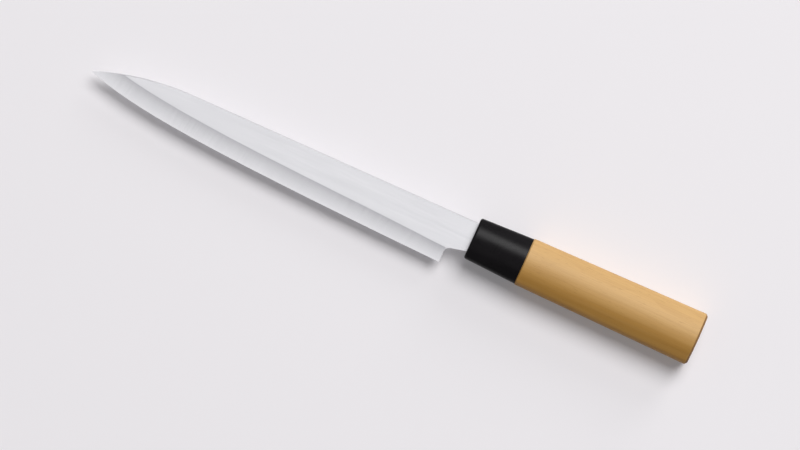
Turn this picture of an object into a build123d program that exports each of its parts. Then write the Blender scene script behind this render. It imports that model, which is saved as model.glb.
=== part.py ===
from build123d import *
import math
import os

os.makedirs("parts", exist_ok=True)

# A yanagiba, the long slicing knife, lying on its side with the bevelled face up. Millimetres.
# X runs from the butt to the tip, Y from the spine to the edge, and Z up.
# The origin is where the handle's axis meets the flat butt end, and the tang lies on that axis.

# Lengths along the handle's axis, from the butt to the tip
grip_length = 100.8
collar_length = 29.9
neck_length = 11.0
blade_length = 210.0

# Blade outline: distances from the axis, measured across it
spine_at_heel = 8.5
spine_at_nose = 7.8
edge_at_heel = 18.9
edge_at_tip = 2.8
nose_length = 55.0
neck_edge_at_heel = 10.3
neck_edge_at_collar = 7.7

# Blade thickness: the back stays flat and the bevelled side tapers towards the tip
spine_thickness = 2.5
tip_thickness = 1.5

# Handle sections: height from the spine side to the edge side, and thickness from face to face.
# Every section has the butt's proportions.
butt_height = 29.2
butt_thickness = 23.0
grip_front_height = 26.5
collar_rear_height = 25.8
collar_front_height = 23.2

# One overrun carries every cut past the faces that it opens
overrun = 2.0

# Places along the axis that more than one piece shares
collar_front_x = grip_length + collar_length
heel_x = collar_front_x + neck_length
tip_x = heel_x + blade_length
nose_x = tip_x - nose_length

# The collar's walls, and how the tenon sits inside them
collar_wall = 1.9
front_wall = 2.2
tenon_fit = 0.15
glue_gap = 0.5
wall_inside_x = collar_front_x - front_wall
tenon_front_x = wall_inside_x - glue_gap

# Levels of the blade: the flat back, and the bevelled side where it is thickest
back_z = -spine_thickness / 2
face_z = spine_thickness / 2


def between(start, start_value, end, end_value, place):
    """The value at a place on the straight line from one value to another."""
    return start_value + (end_value - start_value) * (place - start) / (end - start)


# The handle's outline is a soft chestnut: a flat back with full round corners and, on the
# bevelled side, two flanks that a broad arch joins in place of a sharp ridge.
# The shares follow the section's own height and thickness.
# The corners keep one radius along a piece, a share of the height at its narrow end.
back_share = 0.47
shoulder_share = 0.28
ridge_share = 0.68
ridge_offset_share = 0.02
back_radius_share = 0.34
side_radius_share = 0.2
ridge_radius_share = 0.68


def handle_outline(x, height, narrow_height, inset):
    """The chestnut of this height at this place, or the same shape set in by a wall."""
    half = height / 2
    thickness = height * butt_thickness / butt_height
    back = back_share * thickness
    shoulder = shoulder_share * thickness
    ridge = (-ridge_offset_share * height, ridge_share * thickness)
    back_radius = back_radius_share * narrow_height
    side_radius = side_radius_share * narrow_height
    ridge_radius = ridge_radius_share * narrow_height
    with BuildSketch(Plane.YZ.offset(x)) as outline:
        with BuildLine():
            FilletPolyline(
                (half, -back),
                (half, shoulder),
                ridge,
                (-half, shoulder),
                (-half, -back),
                radius=[back_radius, side_radius, ridge_radius, side_radius, back_radius],
                close=True,
            )
        make_face()
        if inset > 0:
            offset(amount=-inset)
    return outline.sketch


def grip_outline(x):
    """The grip's outline at this place."""
    height = between(0, butt_height, grip_length, grip_front_height, x)
    return handle_outline(x, height, grip_front_height, 0)


def collar_outline(x, inset=0):
    """The collar's outline at this place, or the same outline set in by a wall."""
    height = between(grip_length, collar_rear_height, collar_front_x, collar_front_height, x)
    return handle_outline(x, height, collar_front_height, inset)


# The blade, its bare neck and the hidden tang are one piece of steel.
# The neck is a little thinner at the back, so that the flat back alone meets a whetstone.
neck_relief = 0.2
tang_length = 85.0
tang_root_height = 12.0
tang_end_height = 7.0
tang_end_radius = 1.5
notch_radius = 3.2
heel_radius = 0.6
spine_ease = 0.45
tang_end_x = tenon_front_x - tang_length
neck_back_z = back_z + neck_relief

# The edge is almost straight from the heel, and its belly lies in the third nearest the tip
belly_start_share = 0.667
belly_end_share = 0.865
belly_start = 15.6
belly_end = 11.7
with BuildLine() as edge_curve:
    Bezier(
        (heel_x, edge_at_heel),
        (heel_x + belly_start_share * blade_length, belly_start),
        (heel_x + belly_end_share * blade_length, belly_end),
        (tip_x, edge_at_tip),
    )

# The neck's lower side keeps its slope through the collar's wall, up to the tang's shoulder
neck_edge_at_shoulder = between(heel_x, neck_edge_at_heel, collar_front_x, neck_edge_at_collar, tenon_front_x)
spine_at_shoulder = between(heel_x, spine_at_heel, nose_x, spine_at_nose, tenon_front_x)
with BuildSketch(Plane.XY.offset(back_z)) as blade_plan:
    with BuildLine():
        add(edge_curve.line)
        spine_line = Line((tenon_front_x, -spine_at_shoulder), (nose_x, -spine_at_nose))
        TangentArc((nose_x, -spine_at_nose), (tip_x, edge_at_tip), tangent=spine_line % 1)
        Polyline(
            (heel_x, edge_at_heel),
            (heel_x, neck_edge_at_heel),
            (tenon_front_x, neck_edge_at_shoulder),
            (tenon_front_x, tang_root_height / 2),
            (tang_end_x, tang_end_height / 2),
            (tang_end_x, -tang_end_height / 2),
            (tenon_front_x, -tang_root_height / 2),
            (tenon_front_x, -spine_at_shoulder),
        )
    make_face()
    fillet(blade_plan.vertices().sort_by_distance((heel_x, neck_edge_at_heel))[0], notch_radius)
    fillet(blade_plan.vertices().sort_by_distance((heel_x, edge_at_heel))[0], heel_radius)
    fillet(blade_plan.vertices().group_by(Axis.X)[0], tang_end_radius)

# The bevel runs from the shinogi line, a ridge along the blade, down to the edge.
# It widens quickly in front of the heel, and then hardly at all.
# A large grindstone leaves it very slightly hollow across its width.
edge_land = 0.12
bevel_hollow = 0.14
bevel_overreach_share = 0.25
bevel_at_heel = 8.6
bevel_at_middle = 9.6
bevel_at_tip = 9.9
bevel_middle_share = 0.35
bevel_stations = 8


def bevel_width(share):
    """The bevel's width at this share of the edge's length from the heel."""
    if share < bevel_middle_share:
        fade = (1 - share / bevel_middle_share) ** 2
        return bevel_at_middle + (bevel_at_heel - bevel_at_middle) * fade
    return between(bevel_middle_share, bevel_at_middle, 1, bevel_at_tip, share)


def bevel_cut(place, width):
    """What the grindstone takes away here: an arc from the edge up to the shinogi, run past both."""
    land_z = back_z + edge_land
    level = between(heel_x, face_z, tip_x, back_z + tip_thickness, place.X)

    def ground(share):
        """The arc's point at this share of the way from the edge to the shinogi."""
        straight = between(0, land_z, 1, level, share)
        return (place.Y - share * width, straight - 4 * bevel_hollow * share * (1 - share))

    below = ground(-bevel_overreach_share)
    above = ground(1 + bevel_overreach_share)
    with BuildSketch(Plane.YZ.offset(place.X)) as cut:
        with BuildLine():
            ThreePointArc(below, ground(1 / 2), above)
            Polyline(above, (below[0], above[1]), below)
        make_face()
    return cut.sketch


edge = edge_curve.edge()
bevel_cuts = [bevel_cut(edge @ 0 - (edge % 0) * overrun, bevel_at_heel)]
for station in range(bevel_stations + 1):
    share = station / bevel_stations
    bevel_cuts.append(bevel_cut(edge @ share, bevel_width(share)))
bevel_cuts.append(bevel_cut(edge @ 1 + (edge % 1) * overrun, bevel_at_tip))


# The back is ground hollow, so that only a flat rim along the edge and the spine meets the food.
# The hollow has the blade's own taper, and at its two ends a superellipse narrows it to nothing.
# Its stations are evenly spaced, with the first and last set in by a share of that spacing.
hollow_depth = 0.3
hollow_rim = 1.8
hollow_start_share = 0.03
hollow_end_share = 0.9
hollow_end_power = 5
hollow_stations = 16
hollow_inset_share = 0.1


def spine_y(x):
    """The spine's place across the axis: a straight line, then the arc down to the tip."""
    straight = -between(heel_x, spine_at_heel, nose_x, spine_at_nose, x)
    if x <= nose_x:
        return straight
    drop = edge_at_tip + spine_at_nose
    radius = (nose_length**2 + drop**2) / (2 * drop)
    return radius - spine_at_nose - math.sqrt(radius**2 - (x - nose_x) ** 2)


def hollow_cut(place, fullness):
    """The shallow arch that is ground out of the flat back here, full where fullness is 1."""
    centre = (place.Y + spine_y(place.X)) / 2
    half = ((place.Y - spine_y(place.X)) / 2 - hollow_rim) * fullness ** (1 / hollow_end_power)
    depth = hollow_depth * fullness
    with BuildSketch(Plane.YZ.offset(place.X)) as cut:
        with BuildLine():
            ThreePointArc((centre - half, back_z), (centre, back_z + depth), (centre + half, back_z))
            Polyline(
                (centre + half, back_z),
                (centre + half, back_z - overrun),
                (centre - half, back_z - overrun),
                (centre - half, back_z),
            )
        make_face()
    return cut.sketch


hollow_cuts = []
for station in range(hollow_stations + 1):
    along = (station + hollow_inset_share) / (hollow_stations + 2 * hollow_inset_share)
    fullness = 1 - abs(2 * along - 1) ** hollow_end_power
    share = between(0, hollow_start_share, 1, hollow_end_share, along)
    hollow_cuts.append(hollow_cut(edge @ share, fullness))


def along_spine(line):
    """True for an edge that runs along the spine, in front of the tang's shoulder."""
    middle = line.center()
    extent = line.bounding_box().size
    return middle.X > tenon_front_x and middle.Y < 0 and extent.X > extent.Y + extent.Z


with BuildPart() as blade:
    add(blade_plan.sketch)
    extrude(amount=spine_thickness)
    chamfer(blade.faces().sort_by(Axis.Z)[0].edges().filter_by(along_spine), spine_ease)
    with BuildSketch(Plane.XZ) as blade_side:
        with BuildLine():
            Polyline(
                (tang_end_x, neck_back_z),
                (heel_x, neck_back_z),
                (heel_x, back_z),
                (tip_x, back_z),
                (tip_x, back_z + tip_thickness),
                (heel_x, face_z),
                (tang_end_x, face_z),
                close=True,
            )
        make_face()
    extrude(amount=edge_at_heel + overrun, both=True, mode=Mode.INTERSECT)
    chamfer(blade.edges().filter_by(along_spine).filter_by_position(Axis.Z, 0, face_z), spine_ease)
    loft(bevel_cuts, mode=Mode.SUBTRACT)
    loft(hollow_cuts, mode=Mode.SUBTRACT)
blade.part.label = "blade"
export_step(blade.part, "parts/blade.step")


# The grip is one piece of magnolia wood: a tapering handle with a tenon that fills the collar.
# The tang's hole is burned and cut square, down the axis from the tenon's front.
butt_chamfer = 1.2
front_chamfer = 0.6
tenon_inset = collar_wall + tenon_fit
tang_clearance = 0.8
hole_end_gap = 2.5
hole_end_x = tang_end_x - hole_end_gap
hole_low_z = neck_back_z - tang_clearance
hole_thickness = face_z + tang_clearance - hole_low_z


def tang_hole():
    """The hole seen from above: the tang's outline, with room for resin all round."""
    root = tang_root_height / 2 + tang_clearance
    end = tang_end_height / 2 + tang_clearance
    with BuildSketch(Plane.XY.offset(hole_low_z)) as hole:
        with BuildLine():
            Polyline(
                (hole_end_x, -end),
                (hole_end_x, end),
                (tenon_front_x, root),
                (tenon_front_x, -root),
                close=True,
            )
        make_face()
    return hole.sketch


with BuildPart() as grip:
    loft([grip_outline(0), grip_outline(grip_length)])
    chamfer(grip.faces().sort_by(Axis.X)[0].edges(), butt_chamfer)
    chamfer(grip.faces().sort_by(Axis.X)[-1].edges(), front_chamfer)
    loft([collar_outline(grip_length, tenon_inset), collar_outline(tenon_front_x, tenon_inset)])
    extrude(tang_hole(), amount=hole_thickness, mode=Mode.SUBTRACT)
grip.part.label = "grip"
export_step(grip.part, "parts/grip.step")


# The collar is a moulded black cap over the front of the wood, with a slot for the neck.
collar_nose_radius = 1.2
slot_gap = 0.3
slot_low_y = -spine_at_shoulder - slot_gap
slot_high_y = neck_edge_at_collar + slot_gap
slot_low_z = neck_back_z - slot_gap
slot_high_z = face_z + slot_gap


def neck_slot(x):
    """The slot's rectangle at this place, with a little room all round the neck."""
    with BuildSketch(Plane.YZ.offset(x)) as slot:
        with BuildLine():
            Polyline(
                (slot_low_y, slot_low_z),
                (slot_high_y, slot_low_z),
                (slot_high_y, slot_high_z),
                (slot_low_y, slot_high_z),
                close=True,
            )
        make_face()
    return slot.sketch


with BuildPart() as collar:
    loft([collar_outline(grip_length), collar_outline(collar_front_x)])
    fillet(collar.faces().sort_by(Axis.X)[-1].edges(), collar_nose_radius)
    bore = [collar_outline(grip_length, collar_wall), collar_outline(wall_inside_x, collar_wall)]
    loft(bore, mode=Mode.SUBTRACT)
    extrude(neck_slot(wall_inside_x - overrun), amount=front_wall + 2 * overrun, mode=Mode.SUBTRACT)
collar.part.label = "collar"
export_step(collar.part, "parts/collar.step")


# Clear resin, poured in before the tang is pushed home, fills the hole and rises round the neck
# through the collar's slot, where it stops just short of the collar's face.
resin_recess = 0.3
with BuildPart() as tang_resin:
    extrude(tang_hole(), amount=hole_thickness)
    extrude(neck_slot(tenon_front_x), amount=glue_gap + front_wall - resin_recess)
    add(blade.part, mode=Mode.SUBTRACT)
tang_resin.part.label = "tang_resin"
export_step(tang_resin.part, "parts/tang_resin.step")
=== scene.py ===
import math

import bpy
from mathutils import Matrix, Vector


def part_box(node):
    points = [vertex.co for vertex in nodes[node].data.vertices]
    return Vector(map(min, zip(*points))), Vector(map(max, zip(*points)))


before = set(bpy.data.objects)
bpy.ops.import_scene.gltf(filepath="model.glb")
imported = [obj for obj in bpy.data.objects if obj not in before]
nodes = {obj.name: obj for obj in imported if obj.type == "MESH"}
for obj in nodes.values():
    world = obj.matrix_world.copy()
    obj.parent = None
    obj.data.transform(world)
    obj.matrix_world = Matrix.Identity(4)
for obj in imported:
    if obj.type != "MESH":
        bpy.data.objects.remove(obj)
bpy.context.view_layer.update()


# Blade: one bar of martensitic stainless steel, forged out to the blade, its neck and the tang.
# The flats are satin polished along their length. The bevel is ground on a large wet stone, whose
# marks run across it, and the very edge and the rim of the back are honed smooth.

def linear(colour):
    """A hex colour as it is written for a screen, turned to linear light."""
    channels = [int(colour[i:i + 2], 16) / 255 for i in (1, 3, 5)]
    return [c / 12.92 if c <= 0.04045 else ((c + 0.055) / 1.055) ** 2.4 for c in channels] + [1]


def add_node(tree, kind, sockets=None, **settings):
    """Adds a node with these settings. Each socket takes a value or another node's output."""
    node = tree.nodes.new(kind)
    for name, value in settings.items():
        setattr(node, name, value)
    for name, value in (sockets or {}).items():
        if isinstance(value, bpy.types.NodeSocket):
            tree.links.new(value, node.inputs[name])
        else:
            node.inputs[name].default_value = value
    return node


def new_material(name):
    """An empty material with its output and a principled shader."""
    material = bpy.data.materials.new(name)
    material.use_nodes = True
    tree = material.node_tree
    tree.nodes.clear()
    shader = add_node(tree, "ShaderNodeBsdfPrincipled")
    add_node(tree, "ShaderNodeOutputMaterial", {"Surface": shader.outputs["BSDF"]})
    return material, tree, shader


def grain(tree, place, width, length, turn=0.0):
    """Noise drawn out into streaks of this width and length in metres, along X unless turned."""
    stretched = add_node(
        tree,
        "ShaderNodeMapping",
        {"Vector": place, "Rotation": (0, 0, turn), "Scale": (length, width, width)},
        vector_type="TEXTURE",
    )
    return add_node(
        tree,
        "ShaderNodeTexNoise",
        {"Vector": stretched.outputs["Vector"], "Scale": 1.0, "Detail": 2.0, "Roughness": 0.6},
    ).outputs["Fac"]


millimetre = 0.001

# Where the edge begins and ends, and the levels of the bevelled side's flat, the edge and the back
heel_x = 141.7 * millimetre
tip_x = 351.7 * millimetre
face_at_heel = 1.25 * millimetre
face_at_tip = 0.25 * millimetre
edge_level = -1.13 * millimetre
back_level = -1.25 * millimetre

# The ground finish starts this far below the flat, and fades out between these two distances
# towards the spine, whose rim is polished
bevel_start_depth = 0.01 * millimetre
bevel_full_depth = 0.05 * millimetre
polished_rim_y = -7.0 * millimetre
bevel_reach_y = -4.0 * millimetre

# Honing reaches this far up from the back's level, and fades over this much more
honed_height = 0.15 * millimetre
honed_fade = 0.07 * millimetre

# Nearly all of a noise lies between these two values
noise_low = 0.3
noise_high = 0.7


def blade_stainless():
    """Satin ground stainless steel: a pale neutral metal, whose gloss is drawn out by fine lines.

    The polishing lines lie about 0.15 mm apart and run along the flats, with broader bands among
    them. The stone's marks on the bevel are about 0.5 mm apart and run across it, a little aslant.
    """
    material, tree, shader = new_material("satin_ground_stainless_steel")
    place = add_node(tree, "ShaderNodeTexCoord").outputs["Object"]
    axes = add_node(tree, "ShaderNodeSeparateXYZ", {"Vector": place})

    # The bevel lies below the flat of the bevelled side, which tapers from the heel to the tip.
    # The spine's wall and the neck's drop below it too, and are polished as the flat is.
    level = add_node(
        tree,
        "ShaderNodeMapRange",
        {
            "Value": axes.outputs["X"],
            "From Min": heel_x,
            "From Max": tip_x,
            "To Min": face_at_heel,
            "To Max": face_at_tip,
        },
    )
    depth = add_node(
        tree,
        "ShaderNodeMath",
        {0: level.outputs["Result"], 1: axes.outputs["Z"]},
        operation="SUBTRACT",
    )
    below_flat = add_node(
        tree,
        "ShaderNodeMapRange",
        {"Value": depth.outputs[0], "From Min": bevel_start_depth, "From Max": bevel_full_depth},
    )
    past_heel = add_node(
        tree, "ShaderNodeMath", {0: axes.outputs["X"], 1: heel_x}, operation="GREATER_THAN"
    )
    off_spine = add_node(
        tree,
        "ShaderNodeMapRange",
        {"Value": axes.outputs["Y"], "From Min": polished_rim_y, "From Max": bevel_reach_y},
    )
    off_walls = add_node(
        tree,
        "ShaderNodeMath",
        {0: past_heel.outputs[0], 1: off_spine.outputs["Result"]},
        operation="MULTIPLY",
    )
    on_bevel = add_node(
        tree,
        "ShaderNodeMath",
        {0: below_flat.outputs["Result"], 1: off_walls.outputs[0]},
        operation="MULTIPLY",
    )

    # The honed strip at the edge is about 0.5 mm wide. The back's flat rim is honed with it, and
    # the honing fades out in the hollow inside that rim.
    honed = add_node(
        tree,
        "ShaderNodeMapRange",
        {
            "Value": axes.outputs["Z"],
            "From Min": back_level + honed_height,
            "From Max": back_level + honed_height + honed_fade,
            "To Min": 1.0,
            "To Max": 0.0,
        },
    )

    # Polishing lines and bands run along the flats, and the stone's marks across the bevel
    stone_slant = math.radians(-8)
    band_share = 0.35
    cloud_share = 0.3
    polish = grain(tree, place, width=0.15 * millimetre, length=24 * millimetre)
    bands = grain(tree, place, width=1.6 * millimetre, length=140 * millimetre)
    stone = grain(tree, place, width=14 * millimetre, length=0.5 * millimetre, turn=stone_slant)
    clouds = grain(tree, place, width=18 * millimetre, length=30 * millimetre)
    polished = add_node(
        tree, "ShaderNodeMix", {"Factor": band_share, "A": polish, "B": bands}, data_type="FLOAT"
    )
    ground = add_node(
        tree, "ShaderNodeMix", {"Factor": cloud_share, "A": stone, "B": clouds}, data_type="FLOAT"
    )
    marks = add_node(
        tree,
        "ShaderNodeMix",
        {
            "Factor": on_bevel.outputs[0],
            "A": polished.outputs["Result"],
            "B": ground.outputs["Result"],
        },
        data_type="FLOAT",
    )
    satin = add_node(
        tree,
        "ShaderNodeMapRange",
        {
            "Value": marks.outputs["Result"],
            "From Min": noise_low,
            "From Max": noise_high,
            "To Min": 0.22,
            "To Max": 0.27,
        },
    )
    gloss = add_node(
        tree,
        "ShaderNodeMix",
        {"Factor": honed.outputs["Result"], "A": satin.outputs["Result"], "B": 0.18},
        data_type="FLOAT",
    )
    brightness = add_node(
        tree,
        "ShaderNodeMapRange",
        {"Value": marks.outputs["Result"], "From Min": noise_low, "From Max": noise_high},
    )
    flat_tone = add_node(
        tree,
        "ShaderNodeMix",
        {0: brightness.outputs["Result"], 6: linear("#D5D5D8"), 7: linear("#DDDDDF")},
        data_type="RGBA",
    )

    # The bevel is painted darker at the shinogi line and lighter towards the edge: painted shade and
    # painted reflection, standing in for the light on a hollow-ground bevel
    whole_depth = add_node(
        tree, "ShaderNodeMath", {0: level.outputs["Result"], 1: edge_level}, operation="SUBTRACT"
    )
    nearer_edge = add_node(
        tree, "ShaderNodeMath", {0: depth.outputs[0], 1: whole_depth.outputs[0]}, operation="DIVIDE"
    )
    # Painted shade: the darker tone at the shinogi line
    painted_shade_at_shinogi = add_node(
        tree,
        "ShaderNodeMix",
        {0: brightness.outputs["Result"], 6: linear("#B6B6B9"), 7: linear("#C2C2C5")},
        data_type="RGBA",
    )
    # Painted reflection: the lighter tone towards the edge
    clear = add_node(
        tree,
        "ShaderNodeMix",
        {0: brightness.outputs["Result"], 6: linear("#E3E3E5"), 7: linear("#EBEBED")},
        data_type="RGBA",
    )
    painted_bevel_shading = add_node(
        tree,
        "ShaderNodeMix",
        {0: nearer_edge.outputs[0], 6: painted_shade_at_shinogi.outputs[2], 7: clear.outputs[2]},
        data_type="RGBA",
    )
    tone = add_node(
        tree,
        "ShaderNodeMix",
        {0: on_bevel.outputs[0], 6: flat_tone.outputs[2], 7: painted_bevel_shading.outputs[2]},
        data_type="RGBA",
    )
    # The honed strip is also painted lighter: a painted highlight along the edge and the back's rim
    honed_painted_highlight = add_node(
        tree,
        "ShaderNodeMix",
        {0: honed.outputs["Result"], 6: tone.outputs[2], 7: linear("#E6E6E8")},
        data_type="RGBA",
    )
    grooves = add_node(
        tree,
        "ShaderNodeBump",
        {"Height": marks.outputs["Result"], "Strength": 0.15, "Distance": 0.01 * millimetre},
    )
    tree.links.new(honed_painted_highlight.outputs[2], shader.inputs["Base Color"])
    shader.inputs["Metallic"].default_value = 1.0
    tree.links.new(gloss.outputs["Result"], shader.inputs["Roughness"])
    tree.links.new(grooves.outputs["Normal"], shader.inputs["Normal"])
    return material


nodes["blade"].material_slots[0].material = blade_stainless()


# Tang resin: clear epoxy, poured into the wood before the tang was pushed home.
# It shows only as a thin amber line round the neck, in the collar's slot.

def amber_epoxy():
    """Cured clear epoxy: glossy, with the warm brown of the wood behind it.

    Where air was stirred in, it has small cloudy bubbles, about 1.5 mm from one to the next.
    """
    cloud_size = 2.5 * millimetre
    bubble_spacing = 1.5 * millimetre
    material, tree, shader = new_material("cured_amber_epoxy")
    place = add_node(tree, "ShaderNodeTexCoord").outputs["Object"]
    cloud = grain(tree, place, width=cloud_size, length=cloud_size)
    amber = add_node(
        tree, "ShaderNodeMix", {0: cloud, 6: linear("#463419"), 7: linear("#735E3C")}, data_type="RGBA"
    )
    bubbles = add_node(tree, "ShaderNodeTexVoronoi", {"Vector": place, "Scale": 1 / bubble_spacing})
    bubble = add_node(
        tree,
        "ShaderNodeMapRange",
        {
            "Value": bubbles.outputs["Distance"],
            "From Min": 0.14,
            "From Max": 0.22,
            "To Min": 0.4,
            "To Max": 0.0,
        },
    )
    colour = add_node(
        tree,
        "ShaderNodeMix",
        {0: bubble.outputs["Result"], 6: amber.outputs[2], 7: linear("#9A8A68")},
        data_type="RGBA",
    )
    gloss = add_node(
        tree,
        "ShaderNodeMapRange",
        {
            "Value": cloud,
            "From Min": noise_low,
            "From Max": noise_high,
            "To Min": 0.14,
            "To Max": 0.26,
        },
    )
    tree.links.new(colour.outputs[2], shader.inputs["Base Color"])
    tree.links.new(gloss.outputs["Result"], shader.inputs["Roughness"])
    return material


nodes["tang_resin"].material_slots[0].material = amber_epoxy()


# Collar: a black cap injection moulded in ABS and pressed over the grip's tenon.
# The mould was finely sparked, so its gloss is soft.

def black_abs():
    """Moulded black ABS: nearly black, with a soft satin highlight.

    The sparked mould leaves pits about 0.25 mm across. Handling polishes it in faint patches and
    leaves fine scuffs, which run round it.
    """
    material, tree, shader = new_material("moulded_black_abs")
    place = add_node(tree, "ShaderNodeTexCoord").outputs["Object"]
    scuff_turn = math.radians(70)
    scuff_share = 0.35
    pits = grain(tree, place, width=0.25 * millimetre, length=0.25 * millimetre)
    patches = grain(tree, place, width=7 * millimetre, length=16 * millimetre)
    scuffs = grain(tree, place, width=0.4 * millimetre, length=5 * millimetre, turn=scuff_turn)
    worn = add_node(
        tree, "ShaderNodeMix", {"Factor": scuff_share, "A": patches, "B": scuffs}, data_type="FLOAT"
    )
    wear = add_node(
        tree,
        "ShaderNodeMapRange",
        {"Value": worn.outputs["Result"], "From Min": 0.35, "From Max": 0.65},
    )
    black = add_node(
        tree,
        "ShaderNodeMix",
        {0: wear.outputs["Result"], 6: linear("#080608"), 7: linear("#110F11")},
        data_type="RGBA",
    )
    gloss = add_node(
        tree, "ShaderNodeMapRange", {"Value": wear.outputs["Result"], "To Min": 0.25, "To Max": 0.32}
    )
    sparked = add_node(
        tree, "ShaderNodeBump", {"Height": pits, "Strength": 0.12, "Distance": 0.02 * millimetre}
    )
    tree.links.new(black.outputs[2], shader.inputs["Base Color"])
    tree.links.new(gloss.outputs["Result"], shader.inputs["Roughness"])
    shader.inputs["Specular IOR Level"].default_value = 0.09
    tree.links.new(sparked.outputs["Normal"], shader.inputs["Normal"])
    return material


nodes["collar"].material_slots[0].material = black_abs()


# Grip: one block of magnolia, a pale even wood, shaped along the grain, sanded and lightly oiled.
# The oil has gone in deepest at the end grain of the butt. The grip's side towards the edge is painted
# browner, as painted shade, and the butt's chamfer darker, as painted shade along the butt's edge.

# Across these heights the wood goes from its pale gold to the brown of the painted shade
painted_shade_start_y = -6 * millimetre
painted_shade_end_y = 9 * millimetre
butt_chamfer = 1.2 * millimetre
end_grain_and_shade_fade = 0.3 * millimetre
ring_spacing = 4.0 * millimetre
ring_lean = math.radians(62)


def oiled_magnolia():
    """Magnolia wood: straight fine grain in pale gold, painted browner towards the edge's side as
    painted shade.

    Its rings are about 4 mm apart and faint, its fibres show as streaks about 0.5 mm wide, and
    its pores are drawn at 0.3 mm, several times their real width, so that they show at all.
    """
    material, tree, shader = new_material("oiled_magnolia_wood")
    place = add_node(tree, "ShaderNodeTexCoord").outputs["Object"]
    axes = add_node(tree, "ShaderNodeSeparateXYZ", {"Vector": place})
    fibre = grain(tree, place, width=0.5 * millimetre, length=35 * millimetre)
    streak = grain(tree, place, width=2.4 * millimetre, length=110 * millimetre)
    pore = grain(tree, place, width=0.3 * millimetre, length=4.5 * millimetre)
    wander = grain(tree, place, width=16 * millimetre, length=120 * millimetre)

    # Painted shade: the side towards the edge, which faces away from the softbox, is painted browner
    # than the spine's side, and the streaks break it up
    shade_side_ramp = add_node(
        tree,
        "ShaderNodeMapRange",
        {"Value": axes.outputs["Y"], "From Min": painted_shade_start_y, "From Max": painted_shade_end_y},
        interpolation_type="SMOOTHSTEP",
    )
    shade_streak_share = 0.4
    streaked_shade_ramp = add_node(
        tree,
        "ShaderNodeMath",
        {0: streak, 1: shade_streak_share, 2: shade_side_ramp.outputs["Result"]},
        operation="MULTIPLY_ADD",
    )
    painted_shade_share = add_node(
        tree, "ShaderNodeMapRange", {"Value": streaked_shade_ramp.outputs[0], "From Min": 0.15, "From Max": 1.25}
    )
    wood = add_node(
        tree,
        "ShaderNodeMix",
        {0: painted_shade_share.outputs["Result"], 6: linear("#C69F68"), 7: linear("#AD7D30")},
        data_type="RGBA",
    )

    # Rings: layers that lean across the block and wander a little along it
    ring_wander = 5.0
    leaning = add_node(
        tree,
        "ShaderNodeVectorMath",
        {0: place, 1: (0, math.sin(ring_lean) / ring_spacing, math.cos(ring_lean) / ring_spacing)},
        operation="DOT_PRODUCT",
    )
    bent = add_node(
        tree,
        "ShaderNodeMath",
        {0: wander, 1: ring_wander, 2: leaning.outputs["Value"]},
        operation="MULTIPLY_ADD",
    )
    ring = add_node(tree, "ShaderNodeMath", {0: bent.outputs[0], 1: 1.0, 2: 0.0}, operation="WRAP")
    late_wood = add_node(
        tree,
        "ShaderNodeMapRange",
        {"Value": ring.outputs[0], "From Min": 0.35, "From Max": 1.0, "To Min": 0.0, "To Max": 0.09},
        interpolation_type="SMOOTHSTEP",
    )
    ringed = add_node(
        tree,
        "ShaderNodeMix",
        {0: late_wood.outputs["Result"], 6: wood.outputs[2], 7: linear("#8E6128")},
        data_type="RGBA",
    )

    dark_fibre = add_node(
        tree,
        "ShaderNodeMapRange",
        {"Value": fibre, "From Min": 0.35, "From Max": 0.7, "To Min": 0.0, "To Max": 0.22},
    )
    fibred = add_node(
        tree,
        "ShaderNodeMix",
        {0: dark_fibre.outputs["Result"], 6: ringed.outputs[2], 7: linear("#9A6E34")},
        data_type="RGBA",
    )
    pale_streak = add_node(
        tree,
        "ShaderNodeMapRange",
        {"Value": streak, "From Min": 0.4, "From Max": 0.7, "To Min": 0.0, "To Max": 0.16},
    )
    streaked = add_node(
        tree,
        "ShaderNodeMix",
        {0: pale_streak.outputs["Result"], 6: fibred.outputs[2], 7: linear("#D8B67E")},
        data_type="RGBA",
    )
    pores = add_node(
        tree,
        "ShaderNodeMapRange",
        {"Value": pore, "From Min": 0.62, "From Max": 0.72, "To Min": 0.0, "To Max": 0.3},
    )
    porous = add_node(
        tree,
        "ShaderNodeMix",
        {0: pores.outputs["Result"], 6: streaked.outputs[2], 7: linear("#6E4A1E")},
        data_type="RGBA",
    )

    # End grain shows on the butt and its chamfer, dark with oil and dotted with cut pores. On the
    # chamfer its darkness is also painted shade, the dark line along the butt's edge
    pore_spacing = 0.6 * millimetre
    dots = add_node(tree, "ShaderNodeTexVoronoi", {"Vector": place, "Scale": 1 / pore_spacing})
    oiled_end_grain_and_shade = add_node(
        tree,
        "ShaderNodeMix",
        {0: dots.outputs["Distance"], 6: linear("#543718"), 7: linear("#8A6230")},
        data_type="RGBA",
    )
    end_grain_and_shade = add_node(
        tree,
        "ShaderNodeMapRange",
        {
            "Value": axes.outputs["X"],
            "From Min": butt_chamfer - end_grain_and_shade_fade,
            "From Max": butt_chamfer,
            "To Min": 0.85,
            "To Max": 0.0,
        },
    )
    finished = add_node(
        tree,
        "ShaderNodeMix",
        {0: end_grain_and_shade.outputs["Result"], 6: porous.outputs[2], 7: oiled_end_grain_and_shade.outputs[2]},
        data_type="RGBA",
    )
    tree.links.new(finished.outputs[2], shader.inputs["Base Color"])

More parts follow.
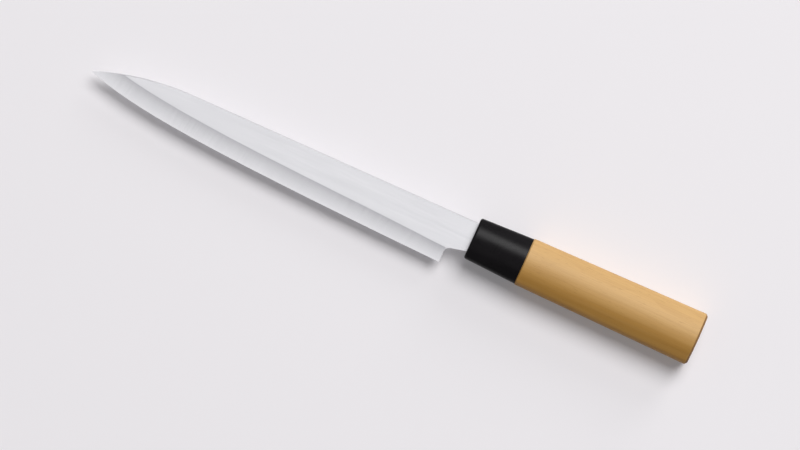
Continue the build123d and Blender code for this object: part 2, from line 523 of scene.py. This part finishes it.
    relief = add_node(
        tree, "ShaderNodeMath", {0: pores.outputs["Result"], 1: -1.0, 2: fibre}, operation="MULTIPLY_ADD"
    )
    gloss = add_node(
        tree,
        "ShaderNodeMapRange",
        {
            "Value": relief.outputs[0],
            "From Min": noise_low,
            "From Max": noise_high,
            "To Min": 0.62,
            "To Max": 0.52,
        },
    )
    sanded = add_node(
        tree,
        "ShaderNodeBump",
        {"Height": relief.outputs[0], "Strength": 0.2, "Distance": 0.04 * millimetre},
    )
    tree.links.new(gloss.outputs["Result"], shader.inputs["Roughness"])
    shader.inputs["Specular IOR Level"].default_value = 0.4
    tree.links.new(sanded.outputs["Normal"], shader.inputs["Normal"])
    return material


nodes["grip"].material_slots[0].material = oiled_magnolia()


# Floor and light: a pale matt sweep under a wide softbox, which hangs over the spine's side and
# towards the butt. A second soft lamp stands low on the same side, and a little light comes from
# all round. The floor shows a share of its own colour to the eye, which keeps the shadow soft.

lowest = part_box("grip")[0].z
knife_middle = Vector((0.17, 0.005, 0))
floor_width = 6.0
own_share = 0.18
bpy.ops.object.select_all(action="DESELECT")
bpy.ops.mesh.primitive_plane_add(size=floor_width, location=(knife_middle.x, 0, lowest))
floor = bpy.context.object
floor.name = "floor"
bpy.ops.object.transform_apply(location=True, rotation=True, scale=True)
paper = bpy.data.materials.new("matt_pale_paper")
paper.use_nodes = True
sheet = paper.node_tree
sheet.nodes.clear()
rays = add_node(sheet, "ShaderNodeLightPath")
share = add_node(
    sheet, "ShaderNodeMath", {0: rays.outputs["Is Camera Ray"], 1: own_share}, operation="MULTIPLY"
)
lit = add_node(sheet, "ShaderNodeBsdfDiffuse", {"Color": linear("#EDEAED")})
own = add_node(sheet, "ShaderNodeEmission", {"Color": linear("#EDEAED"), "Strength": 1.0})
both = add_node(
    sheet, "ShaderNodeMixShader", {0: share.outputs[0], 1: lit.outputs[0], 2: own.outputs[0]}
)
add_node(sheet, "ShaderNodeOutputMaterial", {"Surface": both.outputs[0]})
floor.data.materials.append(paper)


def soft_lamp(name, width, energy, distance, tilt, turn):
    """A round softbox that faces the knife's middle.

    It is tilted by these degrees from the zenith to the spine's side, then turned to the butt's.
    """
    tilt = math.radians(tilt)
    turn = math.radians(turn)
    away = Vector(
        (-math.sin(tilt) * math.sin(turn), -math.sin(tilt) * math.cos(turn), math.cos(tilt))
    )
    lamp = bpy.data.lights.new(name, "AREA")
    lamp.shape = "DISK"
    lamp.size = width
    lamp.energy = energy
    holder = bpy.data.objects.new(name, lamp)
    holder.location = knife_middle + distance * away
    holder.rotation_euler = away.to_track_quat("Z", "Y").to_euler()
    holder.visible_camera = False
    bpy.context.scene.collection.objects.link(holder)
    return holder


soft_lamp("softbox", width=4.8, energy=560, distance=7.6, tilt=32, turn=14)
side_lamp = soft_lamp("side_lamp", width=2.2, energy=68, distance=5.0, tilt=68, turn=14)
side_lamp.data.cycles.cast_shadow = False
side_lamp.visible_glossy = False

world = bpy.data.worlds.new("studio")
bpy.context.scene.world = world
world.use_nodes = True
air = world.node_tree
air.nodes.clear()
rays = add_node(air, "ShaderNodeLightPath")
seen = add_node(
    air,
    "ShaderNodeMath",
    {0: rays.outputs["Is Camera Ray"], 1: rays.outputs["Is Transmission Ray"]},
    operation="MAXIMUM",
)
fill_strength = 0.12
fill = add_node(
    air, "ShaderNodeBackground", {"Color": linear("#F4F5F7"), "Strength": fill_strength}
)

# What the steel mirrors: a pale studio, brightest low on the softbox's side, and dimmest under the
# edge's side. Each pair is how near a direction lies to the bright side, and the strength there.
bright_tilt = math.radians(60)
dim_end = (0.0, 0.4)
bright_end = (1.0, 1.1)
levels_between = ((0.3, 0.5), (0.45, 0.95), (0.6, 1.0), (0.75, 0.86), (0.9, 1.05))
direction = add_node(air, "ShaderNodeTexCoord").outputs["Generated"]
bright_side = Vector((0, -math.sin(bright_tilt), math.cos(bright_tilt)))
nearness = add_node(
    air, "ShaderNodeVectorMath", {0: direction, 1: bright_side}, operation="DOT_PRODUCT"
)
near_share = add_node(
    air,
    "ShaderNodeMapRange",
    {"Value": nearness.outputs["Value"], "From Min": -1.0, "From Max": 1.0},
)
glow = add_node(air, "ShaderNodeFloatCurve", {"Value": near_share.outputs["Result"], "Factor": 1.0})
curve = glow.mapping.curves[0]
glow.mapping.use_clip = False
curve.points[0].location = dim_end
curve.points[1].location = bright_end
for near, strength in levels_between:
    curve.points.new(near, strength)
glow.mapping.update()
mirrored = add_node(
    air, "ShaderNodeBackground", {"Color": linear("#FAF9FB"), "Strength": glow.outputs["Value"]}
)
backdrop = add_node(air, "ShaderNodeBackground", {"Color": linear("#EDEAED"), "Strength": 1.0})
for_gloss = add_node(
    air,
    "ShaderNodeMixShader",
    {0: rays.outputs["Is Glossy Ray"], 1: fill.outputs[0], 2: mirrored.outputs[0]},
)
for_eye = add_node(
    air, "ShaderNodeMixShader", {0: seen.outputs[0], 1: for_gloss.outputs[0], 2: backdrop.outputs[0]}
)
add_node(air, "ShaderNodeOutputWorld", {"Surface": for_eye.outputs[0]})


# Camera: straight above the knife with a long lens, so that nothing leans, and turned until the
# tip lies at the upper left. The width is what the picture takes in at the blade's level.

view_centre = Vector((0.16857, 0.00961, 0))
view_width = 0.4242
view_turn = math.radians(204.38)
lens = bpy.data.cameras.new("camera")
lens.lens = 300
distance = view_width * lens.lens / lens.sensor_width
camera = bpy.data.objects.new("camera", lens)
camera.location = view_centre + Vector((0, 0, distance))
camera.rotation_euler = (0, 0, view_turn)
lens.clip_start = 0.01
lens.clip_end = 20
bpy.context.scene.collection.objects.link(camera)
bpy.context.scene.camera = camera
bpy.context.scene.view_settings.view_transform = "Standard"
